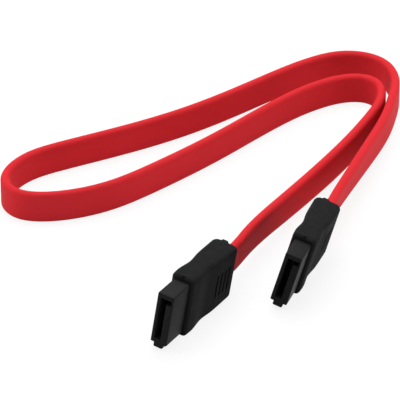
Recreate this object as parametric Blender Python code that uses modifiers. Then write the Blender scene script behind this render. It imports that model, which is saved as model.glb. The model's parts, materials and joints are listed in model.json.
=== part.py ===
"""SATA data cable: one flat red cable with a straight seven-contact receptacle moulded on each end.

Metres, +Z up. The cable and both receptacles stand on edge on the plane z = 0. The origin is on
that plane, at the middle of the box around the two receptacles.

A receptacle has a frame of its own: the origin is at the middle of its mating face, +X points out
of that face, +Y towards the broad side that the slot's foot points to, and +Z along the width,
towards the foot's end.
"""

import math

import bmesh
import bpy
import numpy as np
from mathutils import Euler, Matrix, Vector

OBJECT_NAME = "sata_data_cable"

# Contacts, which set the width of all that holds them
CONTACT_COUNT = 7
CONTACT_PITCH = 0.00127
CONTACT_WIDTH = 0.00045
CONTACT_THICKNESS = 0.00016
CONTACT_TAIL = 0.0028  # behind the inner housing
CONTACT_BOW = 0.00030  # how far the spring stands into the slot
CONTACT_TIP_SETBACK = 0.0014  # from the mating face
CONTACT_CLEARANCE = 0.00010

# L-shaped slot in the mating face
SLOT_GAP = 0.0015
SLOT_DEPTH = 0.0060
SLOT_END_MARGIN = 0.00164  # from the last contact's middle to the slot's end
FOOT_REACH = 0.00125
FOOT_WIDTH = 0.0012

# Inner housing
HOUSING_LENGTH = 0.0122
NOSE_EXPOSED = 0.0073  # the length that stands out of the boot
THIN_WALL = 0.0009  # beside the slot, away from the contacts
CONTACT_WALL = 0.0017  # beside the slot, with the contact channels
END_WALL = 0.00115
HOUSING_EDGE = 0.00018
CHANNEL_CLEARANCE = 0.00014  # beside a contact, each side
CHANNEL_SETBACK = 0.0009  # from the mating face
KEY_RIB_PROUD = 0.0011
KEY_RIB_THICKNESS = 0.0023
FLANGE_PROUD = 0.00045
FLANGE_LENGTH = 0.0018
FLANGE_SETBACK = 0.0020  # behind the boot's front face

# Boot moulded over the back of the inner housing
BOOT_LENGTH = 0.0213
BOOT_SIDE_WALL = 0.00085  # over the housing's broad sides, at the front face
BOOT_END_WALL = 0.00115  # over the housing's narrow ends, at the front face
BOOT_REAR_WIDTH = 0.0136
BOOT_REAR_THICKNESS = 0.0067
BOOT_BULGE = 0.00012  # of each broad side, just behind the front face
BOOT_WAIST = 0.00040  # depth of the hollow in each broad side
BOOT_WAIST_AT = 0.38  # place of the hollow along the boot, from 0 at the front to 1
BOOT_EDGE = 0.0010
BOOT_REAR_CORNER = 0.0017  # radius of the upright corners at the back
BOOT_SECTIONS = 16
BOOT_CORNER_STEPS = 5
BOOT_CLEARANCE = 0.00010  # round the inner housing
CHAMBER_WALL = 0.0012  # left beside the wire chamber at its thinnest
COLLAR_LENGTH = 0.0010
COLLAR_WALL = 0.00075

# Grip grooves near the back of both broad sides
GROOVE_COUNT = 4
GROOVE_PITCH = 0.0017
GROOVE_WIDTH = 0.00062
GROOVE_DEPTH = 0.00050
GROOVE_HEIGHT = 0.0063
GROOVE_BACK_MARGIN = 0.0037  # from the last groove's middle to the boot's back

# Stub that the mould's gate leaves on the boot's back, and the notch in its front edge
STUB_PROUD = 0.0009
STUB_WIDTH = 0.0018
STUB_HEIGHT = 0.0018
STUB_ACROSS = -0.0015
STUB_ALONG = 0.0055
STUB_EDGE = 0.0003
NOTCH_WIDTH = 0.0006
NOTCH_LENGTH = 0.0007
NOTCH_DEPTH = 0.0005

# Cable
CABLE_WIDTH = 0.0079
CABLE_THICKNESS = 0.0023
CABLE_EDGE = 0.0009  # radius of its long edges
JACKET_WALL = 0.00045
JACKET_INSERTION = 0.0040  # the length of jacket inside the boot
JACKET_CLEARANCE = 0.00012
JACKET_ROUND_STEPS = 2  # facets round each edge
SIGNAL_WIRE_RADIUS = 0.00050
DRAIN_WIRE_RADIUS = 0.00020
WIRE_GAP = 0.00008
CONDUCTOR_RADIUS = 0.00016
WIRE_OVERLAP = 0.0020  # the bare end that lies on a contact's tail

# Places of the receptacles: middle of the mating face in plan, heading of +X, and lean of +Z
FRONT_PLUG = {"x": -0.01942, "y": -0.02236, "heading": 241.0, "lean": -8.5}
BACK_PLUG = {"x": 0.00862, "y": -0.00528, "heading": 251.6, "lean": -15.5}
PLUG_TIP_UP = -2.0  # degrees; a receptacle rests on the tapered edge of its boot

# Route of the cable's middle from the front receptacle to the back one, in metres
ROUTE = [
    (-0.0000, 0.0147, 0.00662),
    (0.0081, 0.0302, 0.00574),
    (0.0172, 0.0462, 0.00506),
    (0.0256, 0.0622, 0.00452),
    (0.0320, 0.0763, 0.00423),
    (0.0342, 0.0824, 0.00414),
    (0.0350, 0.0878, 0.00407),
    (0.0341, 0.0925, 0.00401),
    (0.0317, 0.0951, 0.00397),
    (0.0280, 0.0957, 0.00398),
    (0.0212, 0.0932, 0.00398),
    (0.0088, 0.0826, 0.00398),
    (-0.0056, 0.0662, 0.00398),
    (-0.0228, 0.0487, 0.00398),
    (-0.0328, 0.0405, 0.00398),
    (-0.0430, 0.0360, 0.00398),
    (-0.0489, 0.0352, 0.00398),
    (-0.0541, 0.0364, 0.00398),
    (-0.0573, 0.0402, 0.00398),
    (-0.0578, 0.0452, 0.00398),
    (-0.0562, 0.0500, 0.00398),
    (-0.0526, 0.0549, 0.00398),
    (-0.0446, 0.0603, 0.00398),
    (-0.0317, 0.0672, 0.00398),
    (-0.0168, 0.0763, 0.00398),
    (-0.0041, 0.0863, 0.00398),
    (0.0076, 0.0968, 0.00399),
    (0.0183, 0.1052, 0.00404),
    (0.0251, 0.1081, 0.00411),
    (0.0315, 0.1074, 0.00418),
    (0.0359, 0.1039, 0.00428),
    (0.0382, 0.0986, 0.00438),
    (0.0387, 0.0920, 0.00452),
    (0.0376, 0.0842, 0.00472),
    (0.0357, 0.0754, 0.00496),
    (0.0307, 0.0599, 0.00555),
    (0.0244, 0.0423, 0.00628),
    (0.0203, 0.0305, 0.00671),
]
MOST_STEP = 0.0105  # between the cable's stations
MOST_TURN = math.radians(13.0)  # from one station to the next
FINE_STEP = 0.0004
STRAIGHT_EXIT = 0.0015  # of cable behind the collar, before its first bend
LEAN_FADE = 0.070  # the length in which the cable turns from a receptacle's lean to upright

BOOT_BLACK = (0.020, 0.020, 0.022)
HOUSING_BLACK = (0.026, 0.026, 0.028)
CABLE_RED = (0.45, 0.010, 0.018)
WIRE_WHITE = (0.62, 0.62, 0.60)
TINNED = (0.60, 0.60, 0.62)
GOLD = (0.80, 0.56, 0.20)

# Sizes that follow from the ones above
CONTACT_SPAN = (CONTACT_COUNT - 1) * CONTACT_PITCH
SLOT_LENGTH = CONTACT_SPAN + 2 * SLOT_END_MARGIN
NOSE_WIDTH = SLOT_LENGTH + 2 * END_WALL
NOSE_THICKNESS = THIN_WALL + SLOT_GAP + CONTACT_WALL
SLOT_THIN_SIDE = -NOSE_THICKNESS / 2 + THIN_WALL
SLOT_CONTACT_SIDE = SLOT_THIN_SIDE + SLOT_GAP
CONTACT_REST = SLOT_CONTACT_SIDE + CONTACT_THICKNESS * 3
CHANNEL_FLOOR = CONTACT_REST + CONTACT_THICKNESS / 2 + CONTACT_CLEARANCE
CHANNEL_WIDTH = CONTACT_WIDTH + CONTACT_THICKNESS + 2 * CHANNEL_CLEARANCE
BOOT_FRONT_WIDTH = NOSE_WIDTH + 2 * BOOT_END_WALL
BOOT_FRONT_THICKNESS = NOSE_THICKNESS + 2 * BOOT_SIDE_WALL
BOOT_BACK = -NOSE_EXPOSED - BOOT_LENGTH
JACKET_END = BOOT_BACK + JACKET_INSERTION
TAIL_END = -HOUSING_LENGTH - CONTACT_TAIL


def clear_scene():
    for obj in list(bpy.data.objects):
        bpy.data.objects.remove(obj, do_unlink=True)


def new_collection(name):
    collection = bpy.data.collections.new(name)
    bpy.context.scene.collection.children.link(collection)
    return collection


def new_material(name, colour, roughness, metallic=0.0):
    material = bpy.data.materials.new(name)
    material.use_nodes = True
    shader = material.node_tree.nodes["Principled BSDF"]
    shader.inputs["Base Color"].default_value = (*colour, 1.0)
    shader.inputs["Roughness"].default_value = roughness
    shader.inputs["Metallic"].default_value = metallic
    return material


def new_object(name, data, collection):
    obj = bpy.data.objects.new(name, data)
    collection.objects.link(obj)
    return obj


def mesh_of(obj):
    """The object's mesh with its modifiers applied and the caps of a curve welded. The object goes."""
    bpy.context.view_layer.update()
    graph = bpy.context.evaluated_depsgraph_get()
    mesh = bpy.data.meshes.new_from_object(obj.evaluated_get(graph))
    bm = bmesh.new()
    bm.from_mesh(mesh)
    bmesh.ops.remove_doubles(bm, verts=bm.verts, dist=1e-7)
    bmesh.ops.recalc_face_normals(bm, faces=bm.faces)
    bm.to_mesh(mesh)
    bm.free()
    bpy.data.objects.remove(obj, do_unlink=True)
    return mesh


def box_mesh(name, low, high):
    low, high = Vector(low), Vector(high)
    bm = bmesh.new()
    bmesh.ops.create_cube(bm, size=1.0)
    bmesh.ops.scale(bm, vec=high - low, verts=bm.verts)
    bmesh.ops.translate(bm, vec=(low + high) / 2, verts=bm.verts)
    mesh = bpy.data.meshes.new(name)
    bm.to_mesh(mesh)
    bm.free()
    return mesh


def outline_curve(name, outline):
    curve = bpy.data.curves.new(name, "CURVE")
    curve.dimensions = "2D"
    spline = curve.splines.new("POLY")
    spline.points.add(len(outline) - 1)
    for point, (across, along) in zip(spline.points, outline):
        point.co = (across, along, 0.0, 1.0)
    spline.use_cyclic_u = True
    return curve


def prism_mesh(name, outline, back, front, collection):
    """A solid with this outline in the receptacle's YZ plane, from x = back to x = front."""
    curve = outline_curve(name, outline)
    curve.fill_mode = "BOTH"
    curve.extrude = (front - back) / 2
    mesh = mesh_of(new_object(name, curve, collection))
    yz_to_plane = Matrix(((0, 0, 1), (1, 0, 0), (0, 1, 0))).to_4x4()
    mesh.transform(Matrix.Translation(((front + back) / 2, 0, 0)) @ yz_to_plane)
    return mesh


def round_outline(width, thickness, radius, steps=JACKET_ROUND_STEPS):
    """An upright rectangle with round corners, anticlockwise from the lower right."""
    corners = ((1, -1), (1, 1), (-1, 1), (-1, -1))
    points = []
    for index, (across, along) in enumerate(corners):
        for step in range(steps + 1):
            angle = math.pi / 2 * (index - 1 + step / steps)
            points.append(
                (
                    across * (thickness / 2 - radius) + radius * math.cos(angle),
                    along * (width / 2 - radius) + radius * math.sin(angle),
                )
            )
    return points


def cut(obj, cutter, operation="DIFFERENCE"):
    cutter.hide_render = True
    cutter.display_type = "WIRE"
    modifier = obj.modifiers.new(cutter.name, "BOOLEAN")
    modifier.operation = operation
    modifier.solver = "EXACT"
    modifier.object = cutter


def round_edges(obj, width, segments, angle=30.0):
    modifier = obj.modifiers.new("rounded_edges", "BEVEL")
    modifier.width = width
    modifier.segments = segments
    modifier.limit_method = "ANGLE"
    modifier.angle_limit = math.radians(angle)
    modifier.use_clamp_overlap = True


def shade(mesh, angle=35.0):
    mesh.shade_smooth()
    mesh.set_sharp_from_angle(angle=math.radians(angle))


def contact_places():
    """The middle of each contact along the receptacle's width."""
    return [-CONTACT_SPAN / 2 + index * CONTACT_PITCH for index in range(CONTACT_COUNT)]


def slot_outline(grow=0.0):
    """The L, with its foot at the top pointing to +Y."""
    low = SLOT_THIN_SIDE - grow
    high = SLOT_CONTACT_SIDE + grow
    foot = SLOT_CONTACT_SIDE + FOOT_REACH + grow
    top = SLOT_LENGTH / 2 + grow
    inner = SLOT_LENGTH / 2 - FOOT_WIDTH - grow
    return [(low, -top), (high, -top), (high, inner), (foot, inner), (foot, top), (low, top)]


def housing_envelope(name, clearance, collection):
    """The inner housing's outer form with its retaining flange, grown by a clearance."""
    half_width = NOSE_WIDTH / 2 + clearance
    half_thickness = NOSE_THICKNESS / 2 + clearance
    body = new_object(
        name,
        box_mesh(
            name,
            (-HOUSING_LENGTH - clearance, -half_thickness, -half_width),
            (0.0, half_thickness, half_width),
        ),
        collection,
    )
    flange_front = -NOSE_EXPOSED - FLANGE_SETBACK
    flange = new_object(
        f"{name}_flange",
        box_mesh(
            f"{name}_flange",
            (
                flange_front - FLANGE_LENGTH - clearance,
                -half_thickness - FLANGE_PROUD,
                -half_width - FLANGE_PROUD,
            ),
            (flange_front + clearance, half_thickness + FLANGE_PROUD, half_width + FLANGE_PROUD),
        ),
        collection,
    )
    cut(body, flange, "UNION")
    return body, flange


def housing_mesh(cutters):
    """The inner housing: nose, key rib, retaining flange, L slot and contact channels."""
    housing, flange = housing_envelope("housing_body", 0.0, cutters)
    rib_bottom = -NOSE_WIDTH / 2 - KEY_RIB_PROUD
    rib = new_object(
        "key_rib",
        box_mesh(
            "key_rib",
            (-NOSE_EXPOSED + BOOT_CLEARANCE, -KEY_RIB_THICKNESS / 2, rib_bottom),
            (0.0, KEY_RIB_THICKNESS / 2, 0.0),
        ),
        cutters,
    )
    cut(housing, rib, "UNION")
    round_edges(housing, HOUSING_EDGE, 2)
    past_face = HOUSING_EDGE * 2
    slot = new_object(
        "slot", prism_mesh("slot", slot_outline(), -SLOT_DEPTH, past_face, cutters), cutters
    )
    cut(housing, slot)
    tools = [flange, rib, slot]
    for place in contact_places():
        low = (-HOUSING_LENGTH * 1.1, SLOT_CONTACT_SIDE - SLOT_GAP / 4, place - CHANNEL_WIDTH / 2)
        high = (-CHANNEL_SETBACK, CHANNEL_FLOOR, place + CHANNEL_WIDTH / 2)
        channel = new_object("channel", box_mesh("channel", low, high), cutters)
        cut(housing, channel)
        tools.append(channel)
    mesh = mesh_of(housing)
    for tool in tools:
        bpy.data.objects.remove(tool, do_unlink=True)
    shade(mesh)
    mesh.name = "inner_housing"
    return mesh


def boot_half_thickness(share):
    """Half the boot's thickness at a share of its length, from 0 at the front to 1 at the back."""
    straight = BOOT_FRONT_THICKNESS + (BOOT_REAR_THICKNESS - BOOT_FRONT_THICKNESS) * share
    bulge = BOOT_BULGE * math.exp(-(((share - 0.15) / 0.09) ** 2))
    waist = BOOT_WAIST * math.exp(-(((share - BOOT_WAIST_AT) / 0.14) ** 2))
    into_corner = max(1 - (1 - share) * BOOT_LENGTH / BOOT_REAR_CORNER, 0.0)
    corner = BOOT_REAR_CORNER * (1 - math.sqrt(1 - into_corner**2))
    return straight / 2 + bulge - waist - corner


def boot_half_width(share):
    return (BOOT_FRONT_WIDTH + (BOOT_REAR_WIDTH - BOOT_FRONT_WIDTH) * share) / 2


def boot_shares():
    """The shares of the boot's length that its outline passes, closer together round its rear corners."""
    corner = BOOT_REAR_CORNER / BOOT_LENGTH
    shares = [(1 - corner) * index / BOOT_SECTIONS for index in range(BOOT_SECTIONS)]
    for step in range(BOOT_CORNER_STEPS + 1):
        shares.append(1 - corner + corner * math.sin(math.pi / 2 * step / BOOT_CORNER_STEPS))
    return shares


def boot_body_mesh():
    """The boot's waisted outline in plan, drawn up between its two tapered narrow ends."""
    side = [(-NOSE_EXPOSED - BOOT_LENGTH * share, boot_half_thickness(share)) for share in boot_shares()]
    outline = side + [(along, -across) for along, across in reversed(side)]
    bm = bmesh.new()
    base = bm.faces.new([bm.verts.new((along, across, -1.0)) for along, across in outline])
    drawn = bmesh.ops.extrude_face_region(bm, geom=[base])["geom"]
    upper = [item for item in drawn if isinstance(item, bmesh.types.BMVert)]
    bmesh.ops.translate(bm, vec=(0.0, 0.0, 2.0), verts=upper)
    for vert in bm.verts:
        vert.co.z *= boot_half_width((-NOSE_EXPOSED - vert.co.x) / BOOT_LENGTH)
    bmesh.ops.recalc_face_normals(bm, faces=bm.faces)
    mesh = bpy.data.meshes.new("boot_body")
    bm.to_mesh(mesh)
    bm.free()
    return mesh


def boot_mesh(cutters):
    """The overmoulded boot: waisted body, collar, gate stub, housing pocket, wire chamber and bore."""
    boot = new_object("boot_body", boot_body_mesh(), cutters)
    round_edges(boot, BOOT_EDGE, 4, angle=60.0)
    collar_grow = JACKET_CLEARANCE + COLLAR_WALL
    collar_outline = round_outline(
        CABLE_WIDTH + 2 * collar_grow, CABLE_THICKNESS + 2 * collar_grow, CABLE_EDGE + collar_grow, steps=5
    )
    collar_end = BOOT_BACK - COLLAR_LENGTH
    collar = new_object(
        "collar",
        prism_mesh("collar", collar_outline, collar_end, JACKET_END, cutters),
        cutters,
    )
    round_edges(collar, COLLAR_WALL / 3, 2)
    cut(boot, collar, "UNION")
    stub_middle = Vector((BOOT_BACK, STUB_ACROSS, STUB_ALONG))
    stub_half = Vector((STUB_PROUD, STUB_WIDTH / 2, STUB_HEIGHT / 2))
    stub = new_object(
        "gate_stub", box_mesh("gate_stub", stub_middle - stub_half, stub_middle + stub_half), cutters
    )
    round_edges(stub, STUB_EDGE, 2)
    cut(boot, stub, "UNION")
    notch_top = Vector((-NOSE_EXPOSED, NOTCH_WIDTH / 2, BOOT_FRONT_WIDTH / 2))
    notch_size = Vector((NOTCH_LENGTH, NOTCH_WIDTH, NOTCH_DEPTH))
    notch = new_object(
        "front_notch",
        box_mesh("front_notch", notch_top - notch_size, notch_top + Vector((NOTCH_LENGTH, 0, NOTCH_DEPTH))),
        cutters,
    )
    cut(boot, notch)
    pocket, flange = housing_envelope("pocket", BOOT_CLEARANCE, cutters)
    cut(boot, pocket)
    chamber_half_width = CONTACT_SPAN / 2 + SIGNAL_WIRE_RADIUS + CHANNEL_WIDTH / 2
    chamber = new_object(
        "chamber",
        box_mesh(
            "chamber",
            (JACKET_END - JACKET_CLEARANCE, -NOSE_THICKNESS / 2 + CHAMBER_WALL / 2, -chamber_half_width),
            (-HOUSING_LENGTH, NOSE_THICKNESS / 2 - CHAMBER_WALL / 4, chamber_half_width),
        ),
        cutters,
    )
    cut(boot, chamber)
    bore_outline = round_outline(
        CABLE_WIDTH + 2 * JACKET_CLEARANCE,
        CABLE_THICKNESS + 2 * JACKET_CLEARANCE,
        CABLE_EDGE + JACKET_CLEARANCE,
    )
    bore = new_object(
        "bore",
        prism_mesh("bore", bore_outline, collar_end - COLLAR_WALL, JACKET_END, cutters),
        cutters,
    )
    cut(boot, bore)
    tools = [collar, stub, notch, pocket, flange, chamber, bore]
    for side in (-1, 1):
        for index in range(GROOVE_COUNT):
            from_back = GROOVE_BACK_MARGIN + index * GROOVE_PITCH
            middle = BOOT_BACK + from_back
            wall = boot_half_thickness(1 - from_back / BOOT_LENGTH)
            low = (middle - GROOVE_WIDTH / 2, side * (wall - GROOVE_DEPTH), -GROOVE_HEIGHT / 2)
            high = (middle + GROOVE_WIDTH / 2, side * (wall + GROOVE_DEPTH), GROOVE_HEIGHT / 2)
            groove = new_object(
                "groove",
                box_mesh("groove", np.minimum(low, high), np.maximum(low, high)),
                cutters,
            )
            cut(boot, groove)
            tools.append(groove)
    mesh = mesh_of(boot)
    for tool in tools:
        bpy.data.objects.remove(tool, do_unlink=True)
    shade(mesh)
    mesh.name = "boot"
    return mesh


def contact_mesh(cutters):
    """One spring contact, a narrow strip with its bow towards the slot, at the middle of its place."""
    tip = -CONTACT_TIP_SETBACK
    reach = SLOT_DEPTH - CONTACT_TIP_SETBACK
    bow = SLOT_CONTACT_SIDE - CONTACT_BOW
    line = [
        (TAIL_END, CONTACT_REST),
        (-SLOT_DEPTH, CONTACT_REST),
        (tip - reach * 0.75, CONTACT_REST - (CONTACT_REST - bow) * 0.25),
        (tip - reach * 0.42, bow + (CONTACT_REST - bow) * 0.12),
        (tip - reach * 0.30, bow),
        (tip - reach * 0.18, bow + (CONTACT_REST - bow) * 0.12),
        (tip, CONTACT_REST - (CONTACT_REST - bow) * 0.25),
    ]
    curve = bpy.data.curves.new("contact", "CURVE")
    curve.dimensions = "3D"
    curve.twist_mode = "Z_UP"
    curve.extrude = CONTACT_WIDTH / 2
    curve.bevel_depth = CONTACT_THICKNESS / 2
    curve.bevel_resolution = 0
    curve.use_fill_caps = True
    spline = curve.splines.new("POLY")
    spline.points.add(len(line) - 1)
    for point, (x, y) in zip(spline.points, line):
        point.co = (x, y, 0.0, 1.0)
    mesh = mesh_of(new_object("contact", curve, cutters))
    shade(mesh)
    return mesh


def rest_height(heading_frame):
    """How high the mating face's middle lies above the lowest point of the boot and the key rib."""
    lowest = 0.0
    for index in range(BOOT_SECTIONS + 1):
        share = index / BOOT_SECTIONS
        x = -NOSE_EXPOSED - BOOT_LENGTH * share
        y = boot_half_thickness(share) - BOOT_EDGE
        z = boot_half_width(share) - BOOT_EDGE
        for side in (-y, y):
            lowest = min(lowest, (heading_frame @ Vector((x, side, -z))).z - BOOT_EDGE)
    return -lowest


def plug_frame(place):
    """The matrix from a receptacle's own frame to the world."""
    turn = Euler(
        (math.radians(place["lean"]), math.radians(PLUG_TIP_UP), math.radians(place["heading"]))
    ).to_matrix()
    location = Vector((place["x"], place["y"], rest_height(turn)))
    return Matrix.Translation(location) @ turn.to_4x4()


def cubic_curve(points, start, end):
    """A smooth curve through the points, leaving along start and arriving along end.

    It returns the length parameter at each point, and a function from that parameter to a place.
    """
    points = np.array(points)
    gaps = np.linalg.norm(np.diff(points, axis=0), axis=1)
    knots = np.concatenate(([0.0], np.cumsum(gaps)))
    count = len(points)
    system = np.zeros((count, count))
    wanted = np.zeros((count, 3))
    system[0, 0] = system[-1, -1] = 1.0
    wanted[0], wanted[-1] = start, end
    for i in range(1, count - 1):
        before, after = gaps[i - 1], gaps[i]
        system[i, i - 1 : i + 2] = after, 2 * (before + after), before
        wanted[i] = 3 * (
            after * (points[i] - points[i - 1]) / before + before * (points[i + 1] - points[i]) / after
        )
    slopes = np.linalg.solve(system, wanted)

    def place(length):
        i = int(np.clip(np.searchsorted(knots, length) - 1, 0, count - 2))
        gap = gaps[i]
        t = (length - knots[i]) / gap
        return (
            (2 * t**3 - 3 * t**2 + 1) * points[i]
            + (t**3 - 2 * t**2 + t) * gap * slopes[i]
            + (3 * t**2 - 2 * t**3) * points[i + 1]
            + (t**3 - t**2) * gap * slopes[i + 1]
        )

    return knots, place


def cable_stations(front_frame, back_frame):
    """Places along the cable's middle with their lean, closer together where it bends."""
    inside = Vector((JACKET_END, 0, 0))
    mouth = Vector((BOOT_BACK - COLLAR_LENGTH - STRAIGHT_EXIT, 0, 0))
    points = [front_frame @ mouth, *(Vector(point) for point in ROUTE), back_frame @ mouth]
    leaving = -(front_frame.to_3x3() @ Vector((1, 0, 0)))
    arriving = back_frame.to_3x3() @ Vector((1, 0, 0))
    knots, place = cubic_curve(points, leaving, arriving)
    fine = [Vector(place(s)) for s in np.arange(0.0, knots[-1], FINE_STEP)] + [Vector(place(knots[-1]))]
    straight = (inside - mouth).length
    chosen = [(0.0, front_frame @ inside), (straight, fine[0])]
    length, since, start_way = straight, 0.0, leaving
    for before, here, after in zip(fine, fine[1:], fine[2:]):
        step = (here - before).length
        length, since = length + step, since + step
        way = (after - here).normalized()
        if since >= MOST_STEP or way.angle(start_way) >= MOST_TURN:
            chosen.append((length, here))
            since, start_way = 0.0, way
    length += (fine[-1] - fine[-2]).length
    if since < MOST_STEP / 3:
        chosen.pop()
    total = length + straight
    chosen += [(length, fine[-1]), (total, back_frame @ inside)]

    def fade(distance):
        rest = min(max(1 - distance / LEAN_FADE, 0.0), 1.0)
        return rest * rest * (3 - 2 * rest)

    front_lean, back_lean = math.radians(-FRONT_PLUG["lean"]), math.radians(BACK_PLUG["lean"])
    return [(spot, front_lean * fade(s) + back_lean * fade(total - s)) for s, spot in chosen]


def up_at(stations, index):
    """The unit vector across the cable's width, towards its upper edge, at a station."""
    ahead = stations[min(index + 1, len(stations) - 1)][0]
    behind = stations[max(index - 1, 0)][0]
    way = (ahead - behind).normalized()
    side = way.cross(Vector((0, 0, 1))).normalized()
    lean = stations[index][1]
    return side.cross(way) * math.cos(lean) + side * math.sin(lean)


def jacket_mesh(stations, cutters):
    """The jacket: a flat tube, open at both ends, thickened inwards from its outer surface."""
    outline = round_outline(CABLE_WIDTH, CABLE_THICKNESS, CABLE_EDGE)
    profile = new_object("jacket_profile", outline_curve("jacket_profile", outline), cutters)
    curve = bpy.data.curves.new("jacket", "CURVE")
    curve.dimensions = "3D"
    curve.twist_mode = "Z_UP"
    curve.bevel_mode = "OBJECT"
    curve.bevel_object = profile
    spline = curve.splines.new("POLY")
    spline.points.add(len(stations) - 1)
    for point, (spot, lean) in zip(spline.points, stations):
        point.co = (*spot, 1.0)
        point.tilt = lean
    mesh = mesh_of(new_object("jacket", curve, cutters))
    bpy.data.objects.remove(profile, do_unlink=True)
    return mesh


def round_tube(name, path, radii, collection):
    curve = bpy.data.curves.new(name, "CURVE")
    curve.dimensions = "3D"
    curve.twist_mode = "Z_UP"
    curve.bevel_depth = 1.0
    curve.bevel_resolution = 1
    curve.use_fill_caps = True
    spline = curve.splines.new("POLY")
    spline.points.add(len(path) - 1)
    for point, spot, radius in zip(spline.points, path, radii):
        point.co = (*spot, 1.0)
        point.radius = radius
    return new_object(name, curve, collection)


def wire_places():
    """Each wire's place across the cable and its radius: drain, two signals, drain, two signals, drain."""
    inner = DRAIN_WIRE_RADIUS + WIRE_GAP + SIGNAL_WIRE_RADIUS
    outer = inner + 2 * SIGNAL_WIRE_RADIUS + WIRE_GAP
    edge = outer + inner
    signal, drain = SIGNAL_WIRE_RADIUS, DRAIN_WIRE_RADIUS
    return [
        ("ground_wire_1", -edge, drain),
        ("signal_wire_1", -outer, signal),
        ("signal_wire_2", -inner, signal),
        ("ground_wire_2", 0.0, drain),
        ("signal_wire_3", inner, signal),
        ("signal_wire_4", outer, signal),
        ("ground_wire_3", edge, drain),
    ]


def wire_end(frame, across, contact_place, radius, down):
    """The wire's points inside a boot, from the contact's tail back to the jacket's end."""
    bare = min(CONDUCTOR_RADIUS, radius)
    on_tail = CONTACT_REST - CONTACT_THICKNESS / 2 - CONTACT_CLEARANCE - bare
    tail_front = TAIL_END + WIRE_OVERLAP
    spread = (TAIL_END - JACKET_END) * 0.75
    points = [
        ((tail_front, on_tail, contact_place), bare),
        ((TAIL_END - radius, on_tail, contact_place), bare),
        ((TAIL_END - 2 * radius, on_tail - (radius - bare), contact_place), radius),
        ((TAIL_END - spread, 0.0, across), radius),
    ]
    return [(frame @ Vector(spot), r) for spot, r in (reversed(points) if down else points)]


def build():
    clear_scene()
    parts = new_collection(OBJECT_NAME)
    cutters = new_collection("cutters")
    boot_plastic = new_material("boot_plastic", BOOT_BLACK, 0.55)
    housing_plastic = new_material("housing_plastic", HOUSING_BLACK, 0.45)
    jacket_plastic = new_material("jacket_plastic", CABLE_RED, 0.38)
    wire_plastic = new_material("wire_plastic", WIRE_WHITE, 0.45)
    tinned_copper = new_material("tinned_copper", TINNED, 0.35, 1.0)
    gold_plate = new_material("gold_plate", GOLD, 0.25, 1.0)

    frames = {"front": plug_frame(FRONT_PLUG), "back": plug_frame(BACK_PLUG)}
    boot, housing, contact = boot_mesh(cutters), housing_mesh(cutters), contact_mesh(cutters)
    boot.materials.append(boot_plastic)
    housing.materials.append(housing_plastic)
    contact.materials.append(gold_plate)
    for end, frame in frames.items():
        plug = new_object(f"{end}_plug", None, parts)
        plug.empty_display_size = NOSE_WIDTH
        plug.matrix_world = frame
        pieces = [(f"{end}_boot", boot, 0.0), (f"{end}_inner_housing", housing, 0.0)]
        for number, place in enumerate(contact_places(), start=1):
            pieces.append((f"{end}_contact_{number}", contact, place))
        for name, mesh, place in pieces:
            piece = new_object(name, mesh, parts)
            piece.parent = plug
            piece.location = (0.0, 0.0, place)

    stations = cable_stations(frames["front"], frames["back"])
    jacket = new_object("cable_jacket", jacket_mesh(stations, cutters), parts)
    jacket.data.materials.append(jacket_plastic)
    shade(jacket.data, angle=60.0)
    shell = jacket.modifiers.new("wall", "SOLIDIFY")
    shell.thickness = JACKET_WALL
    shell.offset = -1.0

    ups = [up_at(stations, index) for index in range(len(stations))]
    for (name, across, radius), place in zip(wire_places(), contact_places()):
        run = [(spot + up * across, radius) for (spot, _), up in zip(stations, ups)]
        path = wire_end(frames["front"], across, place, radius, down=False)
        path += run
        path += wire_end(frames["back"], across, place, radius, down=True)
        wire = round_tube(name, [spot for spot, _ in path], [r for _, r in path], parts)
        wire.data.materials.append(tinned_copper if radius == DRAIN_WIRE_RADIUS else wire_plastic)
        wire.data.splines[0].use_smooth = True


build()
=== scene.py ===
"""The looks of a flat red SATA data cable with a straight black receptacle on each end."""

import json
import math

import bmesh
import bpy
import numpy as np
from mathutils import Matrix, Vector


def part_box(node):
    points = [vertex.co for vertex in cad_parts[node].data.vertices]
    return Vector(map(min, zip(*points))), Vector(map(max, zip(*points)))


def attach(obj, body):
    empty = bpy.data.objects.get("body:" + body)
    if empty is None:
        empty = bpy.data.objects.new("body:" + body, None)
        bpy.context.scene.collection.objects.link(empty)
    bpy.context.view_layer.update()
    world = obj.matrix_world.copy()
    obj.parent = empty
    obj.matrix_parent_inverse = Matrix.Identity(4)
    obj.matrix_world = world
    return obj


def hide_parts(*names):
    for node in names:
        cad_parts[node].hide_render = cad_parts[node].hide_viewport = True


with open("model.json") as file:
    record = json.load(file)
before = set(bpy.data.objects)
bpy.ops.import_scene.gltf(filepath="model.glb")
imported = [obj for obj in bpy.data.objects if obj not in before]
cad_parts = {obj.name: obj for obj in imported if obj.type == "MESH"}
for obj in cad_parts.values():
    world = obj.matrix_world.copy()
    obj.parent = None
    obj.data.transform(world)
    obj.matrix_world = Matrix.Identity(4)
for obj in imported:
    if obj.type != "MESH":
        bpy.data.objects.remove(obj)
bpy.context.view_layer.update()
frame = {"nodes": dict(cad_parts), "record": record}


# The table and the camera
# The cable lies on a white table top that runs on out of view, bright enough to be nearly pure
# white in the picture. The camera looks down on it at thirty degrees through a long lens, from the
# side that the mating faces point to.
MM = 0.001
CAMERA_TARGET = Vector((-10.94, 45.26, 0.0)) * MM
CAMERA_DISTANCE = 768.7 * MM
CAMERA_ELEVATION = math.radians(30.0)
CAMERA_LENS = 285.1
CAMERA_NEAREST = 20.0 * MM
SENSOR_WIDTH = 36.0
TABLE_SIZE = 6.0
TABLE_WHITE = (0.86, 0.86, 0.87, 1.0)
TABLE_ROUGHNESS = 0.9
TABLE_GLOW = 0.85
GLOW_WHITE = (1.0, 1.0, 1.0, 1.0)
GLOW_STRENGTH = 1.0

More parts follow.
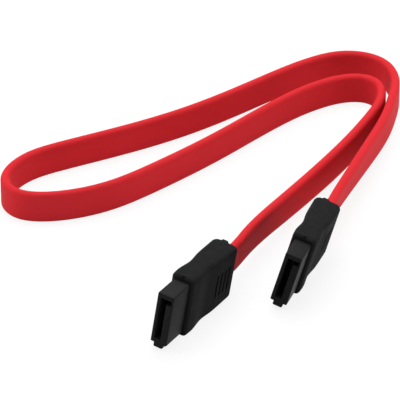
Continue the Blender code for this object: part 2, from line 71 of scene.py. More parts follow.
camera_data = bpy.data.cameras.new("camera")
camera_data.lens = CAMERA_LENS
camera_data.sensor_width = SENSOR_WIDTH
camera_data.clip_start = CAMERA_NEAREST
camera = bpy.data.objects.new("camera", camera_data)
bpy.context.scene.collection.objects.link(camera)
view_back = Vector((0.0, -math.cos(CAMERA_ELEVATION), math.sin(CAMERA_ELEVATION)))
camera.location = CAMERA_TARGET + view_back * CAMERA_DISTANCE
camera.rotation_euler = (-view_back).to_track_quat("-Z", "Y").to_euler()
bpy.context.scene.camera = camera
bpy.context.scene.view_settings.view_transform = "Standard"

bpy.ops.object.select_all(action="DESELECT")
bpy.ops.mesh.primitive_plane_add(size=TABLE_SIZE, location=(0.0, 0.0, 0.0))
table = bpy.context.object
table.name = "table_top"


class Socket:
    """A shader node's output. Arithmetic on it adds the Math nodes that work it out."""

    def __init__(self, tree, output):
        self.tree = tree
        self.output = output

    def node(self, kind, inputs, settings=None, output=0):
        """Adds a node: its settings first, then its inputs' values or links."""
        made = self.tree.nodes.new(kind)
        for name, value in (settings or {}).items():
            setattr(made, name, value)
        for name, value in inputs.items():
            if isinstance(value, Socket):
                value.feed(made.inputs[name])
            else:
                made.inputs[name].default_value = value
        return Socket(self.tree, made.outputs[output])

    def feed(self, entry):
        self.tree.links.new(self.output, entry)

    def math(self, operation, first, second):
        return self.node("ShaderNodeMath", {0: first, 1: second}, {"operation": operation})

    def __add__(self, other):
        return self.math("ADD", self, other)

    def __radd__(self, other):
        return self.math("ADD", other, self)

    def __mul__(self, other):
        return self.math("MULTIPLY", self, other)


def new_material(name):
    """A material, and its Principled shader."""
    material = bpy.data.materials.new(name)
    material.use_nodes = True
    return material, material.node_tree.nodes["Principled BSDF"]


def ray_that_sees(tree):
    """One for a ray from the camera, a reflection or a clear piece, and nothing for one that lights."""
    path = tree.nodes.new("ShaderNodeLightPath")
    kinds = ("Camera", "Glossy", "Transmission")
    camera_ray, reflection, see_through = [Socket(tree, path.outputs[f"Is {kind} Ray"]) for kind in kinds]
    return camera_ray + reflection + see_through


table_material, table_shader = new_material("white_table")
table_shader.inputs["Base Color"].default_value = TABLE_WHITE
table_shader.inputs["Roughness"].default_value = TABLE_ROUGHNESS
tree = table_material.node_tree
glow_share = ray_that_sees(tree) * TABLE_GLOW
lit = Socket(tree, table_shader.outputs["BSDF"])
glow = lit.node("ShaderNodeEmission", {"Color": GLOW_WHITE, "Strength": GLOW_STRENGTH})
mixed = lit.node("ShaderNodeMixShader", {0: glow_share, 1: lit, 2: glow})
mixed.feed(tree.nodes["Material Output"].inputs["Surface"])
table.data.materials.append(table_material)


# The light
# Soft boxes hang above and behind the cable and stand low to its left and right, but none stands
# on the camera's side, so the broad sides of the cable stay deep red. The white room is bright to
# the eye and in reflections, and gives almost no light of its own.
ROOM_WHITE = (1.0, 1.0, 1.0, 1.0)
ROOM_STRENGTH = 0.03
LAMP_AIM = Vector((0.0, 0.05, 0.0))
LAMPS = {
    "high_soft_box": {"place": (0.00, 0.05, 0.80), "size": 0.60, "watts": 2.6},
    "wide_soft_box": {"place": (0.00, 0.05, 0.45), "size": 0.90, "watts": 2.3},
    "back_soft_box": {"place": (0.00, 0.42, 0.70), "size": 0.60, "watts": 3.6},
    "left_soft_box": {"place": (-0.70, 0.05, 0.25), "size": 0.50, "watts": 2.2},
    "low_right_soft_box": {"place": (0.50, 0.00, 0.08), "size": 0.30, "watts": 1.0},
}

world = bpy.data.worlds.new("white_room")
world.use_nodes = True
room = world.node_tree.nodes["Background"]
room.inputs["Color"].default_value = ROOM_WHITE
strength = ray_that_sees(world.node_tree) * (1.0 - ROOM_STRENGTH) + ROOM_STRENGTH
strength.feed(room.inputs["Strength"])
bpy.context.scene.world = world

for name, lamp in LAMPS.items():
    light = bpy.data.lights.new(name, "AREA")
    light.energy = lamp["watts"]
    light.size = lamp["size"]
    fixture = bpy.data.objects.new(name, light)
    bpy.context.scene.collection.objects.link(fixture)
    fixture.location = lamp["place"]
    way = LAMP_AIM - Vector(lamp["place"])
    fixture.rotation_euler = way.to_track_quat("-Z", "Y").to_euler()


# The cable's jacket
# A flat strip of soft red plastic, extruded round the seven wires. It lies on its edge, as it fell,
# and is held only where each boot is moulded over its end.
CABLE_WIDTH = 7.9 * MM
CABLE_THICKNESS = 2.3 * MM
CABLE_EDGE_RADIUS = 1.08 * MM
JACKET_WALL = 0.45 * MM
JACKET_INSIDE_BOOT = 4.0 * MM
STRAIGHT_EXIT = 1.5 * MM
LEAN_FADE = 70.0 * MM
NOSE_EXPOSED = 7.3 * MM
BOOT_LENGTH = 21.3 * MM
COLLAR_LENGTH = 1.0 * MM
MOUNT_FROM_MIDDLE = 1.1 * MM
RING_STEP = 1.0 * MM
CORNER_STEPS = 7
SIDE_STEPS = 8
PLUG_LEANS = {"front": math.radians(-8.5), "back": math.radians(-15.5)}
ROUTE = [
    (-0.0000, 0.0147, 0.00662),
    (0.0081, 0.0302, 0.00574),
    (0.0172, 0.0462, 0.00506),
    (0.0256, 0.0622, 0.00452),
    (0.0320, 0.0763, 0.00423),
    (0.0342, 0.0824, 0.00414),
    (0.0350, 0.0878, 0.00407),
    (0.0341, 0.0925, 0.00401),
    (0.0317, 0.0951, 0.00397),
    (0.0280, 0.0957, 0.00398),
    (0.0212, 0.0932, 0.00398),
    (0.0088, 0.0826, 0.00398),
    (-0.0056, 0.0662, 0.00398),
    (-0.0228, 0.0487, 0.00398),
    (-0.0328, 0.0405, 0.00398),
    (-0.0430, 0.0360, 0.00398),
    (-0.0489, 0.0352, 0.00398),
    (-0.0541, 0.0364, 0.00398),
    (-0.0573, 0.0402, 0.00398),
    (-0.0578, 0.0452, 0.00398),
    (-0.0562, 0.0500, 0.00398),
    (-0.0526, 0.0549, 0.00398),
    (-0.0446, 0.0603, 0.00398),
    (-0.0317, 0.0672, 0.00398),
    (-0.0168, 0.0763, 0.00398),
    (-0.0041, 0.0863, 0.00398),
    (0.0076, 0.0968, 0.00399),
    (0.0183, 0.1052, 0.00404),
    (0.0251, 0.1081, 0.00411),
    (0.0315, 0.1074, 0.00418),
    (0.0359, 0.1039, 0.00428),
    (0.0382, 0.0986, 0.00438),
    (0.0387, 0.0920, 0.00452),
    (0.0376, 0.0842, 0.00472),
    (0.0357, 0.0754, 0.00496),
    (0.0307, 0.0599, 0.00555),
    (0.0244, 0.0423, 0.00628),
    (0.0203, 0.0305, 0.00671),
]
BOOT_BACK = -NOSE_EXPOSED - BOOT_LENGTH
EXIT_AT = BOOT_BACK - COLLAR_LENGTH
JACKET_END = BOOT_BACK + JACKET_INSIDE_BOOT


def plug_place(end):
    """The matrix from a receptacle's own frame, with +X out of its mating face, to the table's."""
    mount = next(m for m in frame["record"]["mounts"] if m["name"] == f"{end}_mating_face")
    first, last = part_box(f"{end}_contact_1"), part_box(f"{end}_contact_7")
    along = (last[0] + last[1] - first[0] - first[1]).normalized()
    side = along.cross(Vector(mount["axis"])).normalized()
    turn = Matrix((side.cross(along), side, along)).transposed()
    origin = Vector(mount["pos_m"]) - side * MOUNT_FROM_MIDDLE
    return Matrix.Translation(origin) @ turn.to_4x4()


def smooth_route(points, start, finish):
    """A smooth curve through the points, leaving along start and arriving along finish."""
    points = np.array(points)
    gaps = np.linalg.norm(np.diff(points, axis=0), axis=1)
    knots = np.concatenate(([0.0], np.cumsum(gaps)))
    count = len(points)
    system = np.zeros((count, count))
    wanted = np.zeros((count, 3))
    system[0, 0] = system[-1, -1] = 1.0
    wanted[0], wanted[-1] = start, finish
    for i in range(1, count - 1):
        before, after = gaps[i - 1], gaps[i]
        system[i, i - 1 : i + 2] = after, 2 * (before + after), before
        wanted[i] = 3 * (
            after * (points[i] - points[i - 1]) / before + before * (points[i + 1] - points[i]) / after
        )
    slopes = np.linalg.solve(system, wanted)
    spots = []
    for length in np.linspace(0.0, knots[-1], round(knots[-1] / RING_STEP), endpoint=False):
        i = int(np.clip(np.searchsorted(knots, length) - 1, 0, count - 2))
        gap = gaps[i]
        t = (length - knots[i]) / gap
        spots.append(
            (2 * t**3 - 3 * t**2 + 1) * points[i]
            + (t**3 - 2 * t**2 + t) * gap * slopes[i]
            + (3 * t**2 - 2 * t**3) * points[i + 1]
            + (t**3 - t**2) * gap * slopes[i + 1]
        )
    return [Vector(spot) for spot in spots] + [Vector(points[-1])]


def straight_run(start, finish, steps):
    """The points from start towards finish, without finish itself."""
    return [start.lerp(finish, i / steps) for i in range(steps)]


def flat_outline(width, thickness, radius):
    """A rectangle with round corners, as (thickness, width) pairs in order round it."""
    corners = []
    for turn, (across, along) in enumerate(((1, -1), (1, 1), (-1, 1), (-1, -1))):
        centre = Vector((across * (thickness / 2 - radius), along * (width / 2 - radius)))
        start = math.radians(-90.0 + 90.0 * turn)
        corners.append(
            [
                centre + radius * Vector((math.cos(start + a), math.sin(start + a)))
                for a in np.linspace(0.0, math.pi / 2, CORNER_STEPS + 1)
            ]
        )
    outline = []
    for corner, after in zip(corners, corners[1:] + corners[:1]):
        outline += corner
        steps = SIDE_STEPS if (after[0] - corner[-1]).length > radius else 1
        outline += [corner[-1].lerp(after[0], i / steps) for i in range(1, steps)]
    return outline


def lengths_along(points):
    """How far along the line through the points each of them lies."""
    return np.concatenate(([0.0], np.cumsum([(b - a).length for a, b in zip(points, points[1:])])))


plug_places = {end: plug_place(end) for end in ("front", "back")}
front, back = plug_places["front"], plug_places["back"]
inside = Vector((JACKET_END, 0.0, 0.0))
mouth = Vector((EXIT_AT - STRAIGHT_EXIT, 0.0, 0.0))
ways = {end: place.to_3x3() @ Vector((1.0, 0.0, 0.0)) for end, place in plug_places.items()}
free = smooth_route([front @ mouth, *map(Vector, ROUTE), back @ mouth], -ways["front"], ways["back"])
straight_steps = round((inside - mouth).length / RING_STEP)
straight_in = straight_run(front @ inside, front @ mouth, straight_steps)
straight_out = straight_run(back @ inside, back @ mouth, straight_steps)[::-1]
centres = straight_in + free + straight_out
lengths = lengths_along(centres)


def fading(distance):
    """One at a boot, and nothing where the cable stands upright."""
    rest = min(max(1.0 - distance / LEAN_FADE, 0.0), 1.0)
    return rest * rest * (3.0 - 2.0 * rest)


jacket_mesh = bpy.data.meshes.new("jacket")
outline = flat_outline(CABLE_WIDTH, CABLE_THICKNESS, CABLE_EDGE_RADIUS)
round_lengths = lengths_along(outline + outline[:1])
bm = bmesh.new()
uv_layer = bm.loops.layers.uv.new("lengthwise")
rings = []
for i, spot in enumerate(centres):
    ahead, behind = centres[min(i + 1, len(centres) - 1)], centres[max(i - 1, 0)]
    way = (ahead - behind).normalized()
    side = way.cross(Vector((0.0, 0.0, 1.0))).normalized()
    front_lean = PLUG_LEANS["front"] * fading(lengths[i])
    back_lean = PLUG_LEANS["back"] * fading(lengths[-1] - lengths[i])
    lean = back_lean - front_lean
    upright = side.cross(way)
    up = upright * math.cos(lean) + side * math.sin(lean)
    across = side * math.cos(lean) - upright * math.sin(lean)
    rings.append([bm.verts.new(spot + across * x + up * y) for x, y in outline])
for i, (ring, after) in enumerate(zip(rings, rings[1:])):
    for j in range(len(outline)):
        k = (j + 1) % len(outline)
        face = bm.faces.new((ring[j], after[j], after[k], ring[k]))
        places = ((i, j), (i + 1, j), (i + 1, j + 1), (i, j + 1))
        for loop, (u, v) in zip(face.loops, places):
            loop[uv_layer].uv = (lengths[u], round_lengths[v])
        face.smooth = True
bmesh.ops.recalc_face_normals(bm, faces=bm.faces)
bm.to_mesh(jacket_mesh)
bm.free()
jacket = bpy.data.objects.new("red_jacket", jacket_mesh)
bpy.context.scene.collection.objects.link(jacket)
wall = jacket.modifiers.new("wall", "SOLIDIFY")
wall.thickness = JACKET_WALL
wall.offset = -1.0
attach(jacket, "root")
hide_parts("cable_jacket")

JACKET_RED = (0.58, 0.022, 0.030, 1.0)
JACKET_DEEP_RED = (0.51, 0.014, 0.019, 1.0)
JACKET_CLOUD = {"scale": 55.0, "detail": 3.0}
JACKET_GRAIN = {"scale": 5200.0, "detail": 2.0}
JACKET_LINE_STRETCH = (18.0, 5500.0, 1.0)
JACKET_LINES = {"scale": 1.0, "detail": 2.0}
JACKET_ROUGHNESS = {"least": 0.60, "cloud": 0.10, "grain": 0.08}
JACKET_HEIGHT = {"grain": 0.5, "lines": 0.5}
JACKET_BUMP = {"depth": 0.03 * MM, "strength": 0.35}
JACKET_SPECULAR = 0.07


def coordinates(material, kind):
    """Where a point lies, in the whole scene's space ("Object") or on the piece's own map ("UV")."""
    tree = material.node_tree
    return Socket(tree, tree.nodes.new("ShaderNodeTexCoord").outputs[kind])


def noise(place, scale, detail):
    return place.node("ShaderNodeTexNoise", {"Vector": place, "Scale": scale, "Detail": detail})


def mottled_material(name, dark, light, cloud):
    """A material with a mottled colour. Gives its shader, places and mottle for the rest of it too."""
    material, shader = new_material(name)
    place = coordinates(material, "Object")
    mottle = noise(place, **cloud)
    colours = {0: mottle, 6: dark, 7: light}
    colour = mottle.node("ShaderNodeMix", colours, {"data_type": "RGBA"}, output=2)
    colour.feed(shader.inputs["Base Color"])
    return material, shader, place, mottle


def set_bump(shader, height, depth, strength):
    bump = height.node("ShaderNodeBump", {"Height": height, "Distance": depth, "Strength": strength})
    bump.feed(shader.inputs["Normal"])


jacket_material, shader, place, cloud = mottled_material(
    "red_soft_plastic", JACKET_DEEP_RED, JACKET_RED, JACKET_CLOUD
)
grain = noise(place, **JACKET_GRAIN)
strip = coordinates(jacket_material, "UV")
stretched = strip.node("ShaderNodeMapping", {"Vector": strip, "Scale": JACKET_LINE_STRETCH})
lines = noise(stretched, **JACKET_LINES)
roughness = cloud * JACKET_ROUGHNESS["cloud"] + grain * JACKET_ROUGHNESS["grain"]
(JACKET_ROUGHNESS["least"] + roughness).feed(shader.inputs["Roughness"])
height = grain * JACKET_HEIGHT["grain"] + lines * JACKET_HEIGHT["lines"]
set_bump(shader, height, **JACKET_BUMP)
shader.inputs["Specular IOR Level"].default_value = JACKET_SPECULAR
jacket.data.materials.append(jacket_material)


# The boots
# Black plastic moulded in one shot over the back of each inner housing and over the cable's end.
# The broad sides have a waist for finger and thumb and four grip grooves. A collar closes the boot
# round the cable, and a fine seam shows where the mould's halves met.
NOSE_WIDTH = 13.2 * MM
NOSE_THICKNESS = 4.1 * MM
BOOT_FRONT_WIDTH = 15.5 * MM
BOOT_FRONT_THICKNESS = 5.8 * MM
BOOT_REAR_WIDTH = 13.6 * MM
BOOT_REAR_THICKNESS = 6.7 * MM
BOOT_BULGE = 0.12 * MM
BOOT_BULGE_AT = 0.15
BOOT_BULGE_SPREAD = 0.09
BOOT_WAIST = 0.40 * MM
BOOT_WAIST_AT = 0.38
BOOT_WAIST_SPREAD = 0.14
BOOT_EDGE = 1.0 * MM
BOOT_EDGE_STEPS = 6
BOOT_FIRST_CUT = 1.1 * BOOT_EDGE
BOOT_REAR_CORNER = 1.7 * MM
BOOT_SECTIONS = 40
BOOT_CORNER_STEPS = 8
BLOCK_HALF = 1.0 * MM
SAME_PLACE = MM / 1000
FACES_STRAIGHT_UP = 0.9
POCKET_CLEARANCE = 0.1 * MM
POCKET_DEPTH = 4.9 * MM
COLLAR_WALL = 0.75 * MM
COLLAR_STEPS = 8
COLLAR_EDGE = COLLAR_WALL / 3
COLLAR_EDGE_STEPS = 3
BORE_CLEARANCE = 0.06 * MM
GROOVE_COUNT = 4
GROOVE_PITCH = 1.7 * MM
GROOVE_WIDTH = 0.74 * MM
GROOVE_ROUNDING = 0.49 * GROOVE_WIDTH
GROOVE_STEPS = 4
GROOVE_DEPTH = 0.60 * MM
GROOVE_HEIGHT = 6.3 * MM
GROOVE_BACK_MARGIN = 3.7 * MM
STUB_HALF = Vector((0.9, 0.9, 0.9)) * MM
STUB_MIDDLE = Vector((BOOT_BACK, -0.9 * MM, 5.5 * MM))
STUB_EDGE = 0.45 * MM
STUB_STEPS = 5
NOTCH_SIZE = Vector((0.7, 0.6, 0.5)) * MM
SOFT_RIM = 0.07 * MM
SOFT_RIM_STEPS = 2
SHARP_RIM = math.radians(50.0)
CORNER_TURN = math.radians(60.0)
CREASE_TURN = math.radians(32.0)


def add_block(name, low, high):
    """A block between two corners, added as a cube at its place and size."""
    bpy.ops.object.select_all(action="DESELECT")
    low, high = Vector(low), Vector(high)
    bpy.ops.mesh.primitive_cube_add(size=1.0, location=(low + high) / 2, scale=high - low)
    bpy.ops.object.transform_apply(location=True, rotation=False, scale=True)
    bpy.context.object.name = name
    return bpy.context.object


def choose(kind, wanted):
    """Selects the vertices or edges of the mesh in edit mode that pass a test."""
    bpy.ops.mesh.select_mode(type=kind)
    bpy.ops.mesh.select_all(action="DESELECT")
    bm = bmesh.from_edit_mesh(bpy.context.object.data)
    for item in {"VERT": bm.verts, "EDGE": bm.edges}[kind]:
        if wanted(item):
            item.select_set(True)
    bm.select_flush_mode()
    bmesh.update_edit_mesh(bpy.context.object.data)


def round_edges(piece, width, segments, wanted):
    bpy.context.view_layer.objects.active = piece
    bpy.ops.object.mode_set(mode="EDIT")
    choose("EDGE", wanted)
    bpy.ops.mesh.bevel(offset=width, segments=segments, affect="EDGES", clamp_overlap=True)
    bpy.ops.object.mode_set(mode="OBJECT")


def is_corner(edge):
    return edge.is_manifold and edge.calc_face_angle() > CORNER_TURN


def runs_along(axis):
    """A test for the edges of a block that run along one of its axes."""
    return lambda edge: abs(edge.verts[0].co[axis] - edge.verts[1].co[axis]) > MM / 2


def combine(piece, tool, operation):
    """Joins the tool to the piece, or cuts it out, and throws the tool away."""
    modifier = piece.modifiers.new(tool.name, "BOOLEAN")
    modifier.operation = operation
    modifier.solver = "EXACT"
    modifier.object = tool
    bpy.context.view_layer.objects.active = piece
    bpy.ops.object.modifier_apply(modifier=modifier.name)
    bpy.data.objects.remove(tool, do_unlink=True)


def boot_half_thickness(share):
    """Half the boot's thickness at a share of its length, from 0 at the front to 1 at the back."""
    straight = BOOT_FRONT_THICKNESS + (BOOT_REAR_THICKNESS - BOOT_FRONT_THICKNESS) * share
    bulge = BOOT_BULGE * math.exp(-(((share - BOOT_BULGE_AT) / BOOT_BULGE_SPREAD) ** 2))
    waist = BOOT_WAIST * math.exp(-(((share - BOOT_WAIST_AT) / BOOT_WAIST_SPREAD) ** 2))
    into_corner = max(1.0 - (1.0 - share) * BOOT_LENGTH / BOOT_REAR_CORNER, 0.0)
    corner = BOOT_REAR_CORNER * (1.0 - math.sqrt(1.0 - into_corner**2))
    return straight / 2 + bulge - waist - corner


def boot_half_width(share):
    return (BOOT_FRONT_WIDTH + (BOOT_REAR_WIDTH - BOOT_FRONT_WIDTH) * share) / 2


boot = add_block("boot", (BOOT_BACK, -BLOCK_HALF, -BLOCK_HALF), (-NOSE_EXPOSED, BLOCK_HALF, BLOCK_HALF))
rear_share = BOOT_REAR_CORNER / BOOT_LENGTH
shares = [0.0, *np.linspace(BOOT_FIRST_CUT / BOOT_LENGTH, 1.0 - rear_share, BOOT_SECTIONS)]
for step in range(1, BOOT_CORNER_STEPS + 1):
    shares.append(1.0 - rear_share + rear_share * math.sin(math.pi / 2 * step / BOOT_CORNER_STEPS))
bpy.ops.object.mode_set(mode="EDIT")
for share in shares[1:-1]:
    bpy.ops.mesh.select_all(action="SELECT")
    cut_at = -NOSE_EXPOSED - BOOT_LENGTH * share
    bpy.ops.mesh.bisect(plane_co=(cut_at, 0.0, 0.0), plane_no=(1.0, 0.0, 0.0))
for share in shares:
    here = -NOSE_EXPOSED - BOOT_LENGTH * share
    choose("VERT", lambda vert: abs(vert.co.x - here) < SAME_PLACE)
    growth = (1.0, boot_half_thickness(share) / BLOCK_HALF, boot_half_width(share) / BLOCK_HALF)
    bpy.ops.transform.resize(value=growth, center_override=(here, 0.0, 0.0))
# Leaving edit mode works the faces' directions out again, and the next test reads them. It finds the
# cuts across the two flat narrow sides, and without those each side is one face.
bpy.ops.object.mode_set(mode="OBJECT")
bpy.ops.object.mode_set(mode="EDIT")
choose("EDGE", lambda edge: all(abs(face.normal.z) > FACES_STRAIGHT_UP for face in edge.link_faces))
bpy.ops.mesh.dissolve_edges(use_verts=False)
bpy.ops.object.mode_set(mode="OBJECT")
round_edges(boot, BOOT_EDGE, BOOT_EDGE_STEPS, is_corner)

exit_middle, jacket_middle = Vector((EXIT_AT, 0.0, 0.0)), Vector((JACKET_END, 0.0, 0.0))
collar_half = Vector((0.0, CABLE_THICKNESS / 2 + COLLAR_WALL, CABLE_WIDTH / 2 + COLLAR_WALL))
collar = add_block("collar", exit_middle - collar_half, jacket_middle + collar_half)
round_edges(collar, CABLE_THICKNESS / 2, COLLAR_STEPS, runs_along(0))
round_edges(collar, COLLAR_EDGE, COLLAR_EDGE_STEPS, is_corner)
combine(boot, collar, "UNION")
stub = add_block("gate_stub", STUB_MIDDLE - STUB_HALF, STUB_MIDDLE + STUB_HALF)
round_edges(stub, STUB_EDGE, STUB_STEPS, is_corner)
combine(boot, stub, "UNION")
notch_top = Vector((-NOSE_EXPOSED, NOTCH_SIZE.y / 2, BOOT_FRONT_WIDTH / 2))
past_notch = Vector((NOTCH_SIZE.x, 0.0, NOTCH_SIZE.z))
notch = add_block("notch", notch_top - NOTCH_SIZE, notch_top + past_notch)
combine(boot, notch, "DIFFERENCE")

pocket_half = Vector((0.0, NOSE_THICKNESS / 2 + POCKET_CLEARANCE, NOSE_WIDTH / 2 + POCKET_CLEARANCE))
pocket_mouth = Vector((-NOSE_EXPOSED + MM, 0.0, 0.0))
pocket_floor = Vector((-NOSE_EXPOSED - POCKET_DEPTH, 0.0, 0.0))
pocket = add_block("pocket", pocket_floor - pocket_half, pocket_mouth + pocket_half)
combine(boot, pocket, "DIFFERENCE")
bore_half = Vector((0.0, CABLE_THICKNESS / 2 + BORE_CLEARANCE, CABLE_WIDTH / 2 + BORE_CLEARANCE))
bore_mouth = Vector((EXIT_AT - MM, 0.0, 0.0))
bore = add_block("bore", bore_mouth - bore_half, jacket_middle + bore_half)
round_edges(bore, CABLE_EDGE_RADIUS, CORNER_STEPS, runs_along(0))
combine(boot, bore, "DIFFERENCE")
for side in (-1, 1):
    for index in range(GROOVE_COUNT):
        from_back = GROOVE_BACK_MARGIN + index * GROOVE_PITCH
        surface = boot_half_thickness(1.0 - from_back / BOOT_LENGTH)
        middle = Vector((BOOT_BACK + from_back, side * surface, 0.0))
        half = Vector((GROOVE_WIDTH / 2, GROOVE_DEPTH, GROOVE_HEIGHT / 2))
        groove = add_block("groove", middle - half, middle + half)
        round_edges(groove, GROOVE_ROUNDING, GROOVE_STEPS, runs_along(1))
        combine(boot, groove, "DIFFERENCE")
rims = boot.modifiers.new("soft_rims", "BEVEL")
rims.width = SOFT_RIM
rims.segments = SOFT_RIM_STEPS
rims.limit_method = "ANGLE"
rims.angle_limit = SHARP_RIM
bpy.context.view_layer.objects.active = boot
bpy.ops.object.modifier_apply(modifier=rims.name)


def lay_out(piece):
    """Gives the piece smooth shading, and a map in its receptacle's own length and thickness."""
    layer = piece.data.uv_layers.new(name="moulding")
    for loop in piece.data.loops:
        spot = piece.data.vertices[loop.vertex_index].co
        layer.data[loop.index].uv = (spot.x, spot.y)
    bpy.ops.object.select_all(action="DESELECT")
    piece.select_set(True)
    bpy.context.view_layer.objects.active = piece
    bpy.ops.object.shade_smooth_by_angle(angle=CREASE_TURN)


def place_copies(piece, name, node, material):
    """Puts a copy of the piece at each end of the cable, and throws the pattern away."""
    copies = []
    for end, place in plug_places.items():
        mesh = piece.data.copy()
        mesh.transform(place)
        mesh.materials.clear()
        mesh.materials.append(material)
        copy = bpy.data.objects.new(f"{end}_{name}", mesh)
        bpy.context.scene.collection.objects.link(copy)
        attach(copy, "root")
        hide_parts(f"{end}_{node}")
        copies.append(copy)
    bpy.data.objects.remove(piece, do_unlink=True)
    return copies


BOOT_BLACK = (0.0050, 0.0050, 0.0054, 1.0)
BOOT_GREY = (0.0165, 0.0165, 0.0176, 1.0)
BOOT_CLOUD = {"scale": 700.0, "detail": 5.0}
BOOT_SPARK = {"scale": 7000.0, "detail": 3.0}
BOOT_ROUGHNESS = {"least": 0.58, "cloud": 0.12, "spark": 0.10}
BOOT_HEIGHT = {"spark": 0.7, "seam": 0.8}
BOOT_BUMP = {"depth": 0.05 * MM, "strength": 0.7}
BOOT_SPECULAR = 0.025
SEAM_HALF_WIDTH = 0.07 * MM
boot_material, shader, place, cloud = mottled_material(
    "black_moulded_plastic", BOOT_BLACK, BOOT_GREY, BOOT_CLOUD
)
spark = noise(place, **BOOT_SPARK)
mould = coordinates(boot_material, "UV")
from_parting = mould.node("ShaderNodeSeparateXYZ", {0: mould}, output=1)
off_seam = from_parting.math("ABSOLUTE", from_parting, 0.0)
fall = {"From Min": 0.0, "From Max": SEAM_HALF_WIDTH, "To Min": 1.0, "To Max": 0.0}
seam = off_seam.node("ShaderNodeMapRange", {"Value": off_seam, **fall})
roughness = cloud * BOOT_ROUGHNESS["cloud"] + spark * BOOT_ROUGHNESS["spark"]
(BOOT_ROUGHNESS["least"] + roughness).feed(shader.inputs["Roughness"])
set_bump(shader, spark * BOOT_HEIGHT["spark"] + seam * BOOT_HEIGHT["seam"], **BOOT_BUMP)
shader.inputs["Specular IOR Level"].default_value = BOOT_SPECULAR
lay_out(boot)
boots = place_copies(boot, "boot_moulding", "boot", boot_material)


# The inner housings
# Each is a block of stiffer black plastic, moulded round its seven contacts before the boot goes
# on. Its nose holds the L-shaped slot, which has a small lead-in, and the rib that keys the plug.
HOUSING_LENGTH = 12.2 * MM
THIN_WALL = 0.9 * MM
SLOT_GAP = 1.5 * MM
SLOT_DEPTH = 6.0 * MM
SLOT_LENGTH = 10.9 * MM
SLOT_LEAD_IN = 0.16 * MM
SLOT_LEAD_IN_STEPS = 2
FOOT_REACH = 1.25 * MM
FOOT_WIDTH = 1.2 * MM
NOSE_ROUNDING = 0.28 * MM
NOSE_ROUNDING_STEPS = 4
KEY_RIB_PROUD = 1.1 * MM
KEY_RIB_THICKNESS = 2.3 * MM
CONTACT_COUNT = 7
CONTACT_PITCH = 1.27 * MM
CONTACT_REST = 0.83 * MM
CHANNEL_WIDTH = 0.78 * MM
CHANNEL_FLOOR = 1.01 * MM
CHANNEL_SETBACK = 0.9 * MM
SLOT_BACK_WALL = -NOSE_THICKNESS / 2 + THIN_WALL
SLOT_CONTACT_WALL = SLOT_BACK_WALL + SLOT_GAP
CUT_OVERLAP = SLOT_GAP / 4
contact_places = [(index - (CONTACT_COUNT - 1) / 2) * CONTACT_PITCH for index in range(CONTACT_COUNT)]

nose_half = Vector((0.0, NOSE_THICKNESS / 2, NOSE_WIDTH / 2))
housing = add_block("housing", Vector((-HOUSING_LENGTH, 0.0, 0.0)) - nose_half, nose_half)
rib_bottom = -NOSE_WIDTH / 2 - KEY_RIB_PROUD
rib_half = KEY_RIB_THICKNESS / 2
rib = add_block("rib", (-NOSE_EXPOSED + POCKET_CLEARANCE, -rib_half, rib_bottom), (0.0, rib_half, 0.0))
combine(housing, rib, "UNION")
round_edges(housing, NOSE_ROUNDING, NOSE_ROUNDING_STEPS, is_corner)
slot_half = SLOT_LENGTH / 2
slot = add_block("slot", (-SLOT_DEPTH, SLOT_BACK_WALL, -slot_half), (MM, SLOT_CONTACT_WALL, slot_half))
foot = add_block(
    "foot",
    (-SLOT_DEPTH, SLOT_CONTACT_WALL - CUT_OVERLAP, slot_half - FOOT_WIDTH),
    (MM, SLOT_CONTACT_WALL + FOOT_REACH, slot_half),
)
combine(slot, foot, "UNION")
combine(housing, slot, "DIFFERENCE")


def is_slot_rim(edge):
    """Whether an edge is one of the slot's at the mating face, and not one of the nose's own."""
    return is_corner(edge) and all(
        abs(vert.co.x) < SLOT_LEAD_IN / 4
        and -NOSE_THICKNESS / 2 + THIN_WALL / 2 < vert.co.y < NOSE_THICKNESS / 2 - NOSE_ROUNDING
        and abs(vert.co.z) < slot_half * 1.01
        for vert in edge.verts
    )


round_edges(housing, SLOT_LEAD_IN, SLOT_LEAD_IN_STEPS, is_slot_rim)
for across in contact_places:
    low = (-HOUSING_LENGTH - MM, SLOT_CONTACT_WALL - CUT_OVERLAP, across - CHANNEL_WIDTH / 2)
    high = (-CHANNEL_SETBACK, CHANNEL_FLOOR, across + CHANNEL_WIDTH / 2)
    combine(housing, add_block("channel", low, high), "DIFFERENCE")

HOUSING_BLACK = (0.0075, 0.0075, 0.0080, 1.0)
HOUSING_GREY = (0.0115, 0.0115, 0.0120, 1.0)
HOUSING_CLOUD = {"scale": 420.0, "detail": 4.0}
HOUSING_GRAIN = {"scale": 9000.0, "detail": 2.0}
HOUSING_ROUGHNESS = {"least": 0.34, "cloud": 0.12, "grain": 0.06}
HOUSING_BUMP = {"depth": 0.02 * MM, "strength": 0.5}
HOUSING_SPECULAR = 0.04
housing_material, shader, place, cloud = mottled_material(
    "black_stiff_plastic", HOUSING_BLACK, HOUSING_GREY, HOUSING_CLOUD
)
grain = noise(place, **HOUSING_GRAIN)
roughness = cloud * HOUSING_ROUGHNESS["cloud"] + grain * HOUSING_ROUGHNESS["grain"]
(HOUSING_ROUGHNESS["least"] + roughness).feed(shader.inputs["Roughness"])
set_bump(shader, grain, **HOUSING_BUMP)
shader.inputs["Specular IOR Level"].default_value = HOUSING_SPECULAR
lay_out(housing)
housings = place_copies(
    housing, "housing_moulding", "inner_housing", housing_material
)


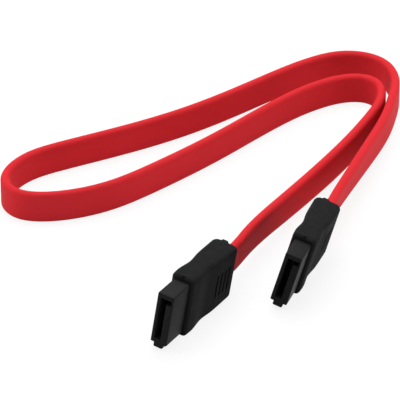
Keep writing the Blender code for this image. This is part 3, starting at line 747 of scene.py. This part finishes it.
# The contacts
# Seven springs at each end, stamped from thin copper alloy and gold plated. Each rests in its own
# channel and bows out into the slot, with a coined tip, and its tail is joined to a wire.
CONTACT_WIDTH = 0.45 * MM
CONTACT_METAL = 0.16 * MM
CONTACT_TAIL = 2.8 * MM
CONTACT_TIP_SETBACK = 1.4 * MM
CONTACT_BOW = 0.30 * MM
BOW_AT = 0.30
BOW_SPREAD = 0.26
SPRING_SECTIONS = 30
TIP_THINNING = 0.8
TIP_NARROWING = 0.7
COINED_EDGE = 0.03 * MM
COINED_EDGE_STEPS = 2

spring_half = Vector((0.0, CONTACT_METAL / 2, CONTACT_WIDTH / 2))
spring_back = -HOUSING_LENGTH - CONTACT_TAIL
spring_reach = SLOT_DEPTH - CONTACT_TIP_SETBACK
section_length = spring_reach / SPRING_SECTIONS
low = Vector((spring_back, CONTACT_REST, 0.0)) - spring_half
high = Vector((-CONTACT_TIP_SETBACK, CONTACT_REST, 0.0)) + spring_half
spring = add_block("spring", low, high)
bpy.ops.object.mode_set(mode="EDIT")
for section in range(1, SPRING_SECTIONS + 1):
    cut_at = -CONTACT_TIP_SETBACK - section_length * section
    bpy.ops.mesh.select_all(action="SELECT")
    bpy.ops.mesh.bisect(plane_co=(cut_at, 0.0, 0.0), plane_no=(1.0, 0.0, 0.0))
for section in range(SPRING_SECTIONS + 1):
    share = section / SPRING_SECTIONS
    here = -CONTACT_TIP_SETBACK - spring_reach * share
    choose("VERT", lambda vert: abs(vert.co.x - here) < section_length / 4)
    rise = math.exp(-(((share - BOW_AT) / BOW_SPREAD) ** 2)) * (1.0 - share**4)
    bow = (CONTACT_REST - SLOT_CONTACT_WALL + CONTACT_BOW) * rise
    bpy.ops.transform.translate(value=(0.0, -bow, 0.0))
    if section == 0:
        bpy.ops.transform.resize(value=(1.0, TIP_THINNING, TIP_NARROWING))
bpy.ops.object.mode_set(mode="OBJECT")
round_edges(spring, COINED_EDGE, COINED_EDGE_STEPS, is_corner)

GOLD = (0.83, 0.58, 0.22, 1.0)
RUBBED_GOLD = (0.90, 0.68, 0.34, 1.0)
GOLD_RUB = {"scale": 2600.0, "detail": 3.0}
GOLD_ROUGHNESS = {"least": 0.20, "rubbed": 0.16}
GOLD_BUMP = {"depth": 0.006 * MM, "strength": 0.3}
gold_material, shader, _, rubbed = mottled_material("gold_plate", GOLD, RUBBED_GOLD, GOLD_RUB)
(GOLD_ROUGHNESS["least"] + rubbed * GOLD_ROUGHNESS["rubbed"]).feed(shader.inputs["Roughness"])
shader.inputs["Metallic"].default_value = 1.0
set_bump(shader, rubbed, **GOLD_BUMP)
lay_out(spring)
springs = []
for number, across in enumerate(contact_places, start=1):
    one = bpy.data.objects.new("spring_pattern", spring.data.copy())
    one.data.transform(Matrix.Translation((0.0, 0.0, across)))
    springs += place_copies(
        one, f"spring_{number}", f"contact_{number}", gold_material
    )
bpy.data.objects.remove(spring, do_unlink=True)


# The wires
# Four signal wires with white insulation and three bare tinned ground wires run inside the
# jacket, and their ends lie on the contacts' tails inside the boots.
WIRE_MOTTLE = {"scale": 1500.0, "detail": 3.0}
WIRE_ROUGHNESS_SPREAD = 0.15
WIRE_FINISHES = {
    "signal": {
        "name": "white_insulation",
        "dark": (0.50, 0.50, 0.48, 1.0),
        "light": (0.60, 0.60, 0.57, 1.0),
        "roughness": 0.42,
        "metallic": 0.0,
    },
    "ground": {
        "name": "tinned_copper",
        "dark": (0.50, 0.50, 0.53, 1.0),
        "light": (0.66, 0.66, 0.68, 1.0),
        "roughness": 0.28,
        "metallic": 1.0,
    },
}
for kind, finish in WIRE_FINISHES.items():
    material, shader, _, mottle = mottled_material(
        finish["name"], finish["dark"], finish["light"], WIRE_MOTTLE
    )
    roughness = finish["roughness"] + mottle * WIRE_ROUGHNESS_SPREAD
    roughness.feed(shader.inputs["Roughness"])
    shader.inputs["Metallic"].default_value = finish["metallic"]
    for name, node in frame["nodes"].items():
        if name.startswith(kind):
            node.data.materials.clear()
            node.data.materials.append(material)


# The front exit
# The jacket runs from the front boot's collar to the back receptacle. The line below works out where it
# leaves the front collar, and keeps nothing.
front @ Vector((EXIT_AT, 0.0, 0.0))
